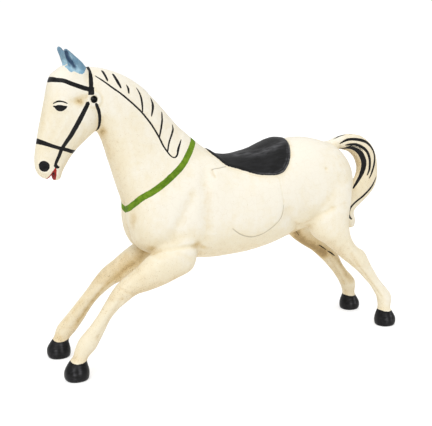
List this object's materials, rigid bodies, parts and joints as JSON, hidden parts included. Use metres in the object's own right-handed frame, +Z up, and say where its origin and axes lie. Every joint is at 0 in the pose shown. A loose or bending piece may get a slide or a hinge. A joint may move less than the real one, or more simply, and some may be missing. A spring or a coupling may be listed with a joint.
{
  "type": "carousel horse",
  "caption": "Carved wooden children's carousel horse at the gallop, cream enamel with painted bridle and mane, carved saddle, curled tail and a cross bore behind the cheeks for a hand rail.",
  "frame": {"origin": "on the floor under the middle of the horse's length and width", "axes": "-X is the way the horse faces, -Y its left side, +Z up"},
  "size_m": [1.3072, 0.3, 1.015],
  "materials": {
    "coat": "aged cream enamel, satin, over carved wood; hooves and saddle black, ears blue, collar green"
  },
  "bodies": {
    "root": {"horse": "coat"}
  },
  "joints": []
}
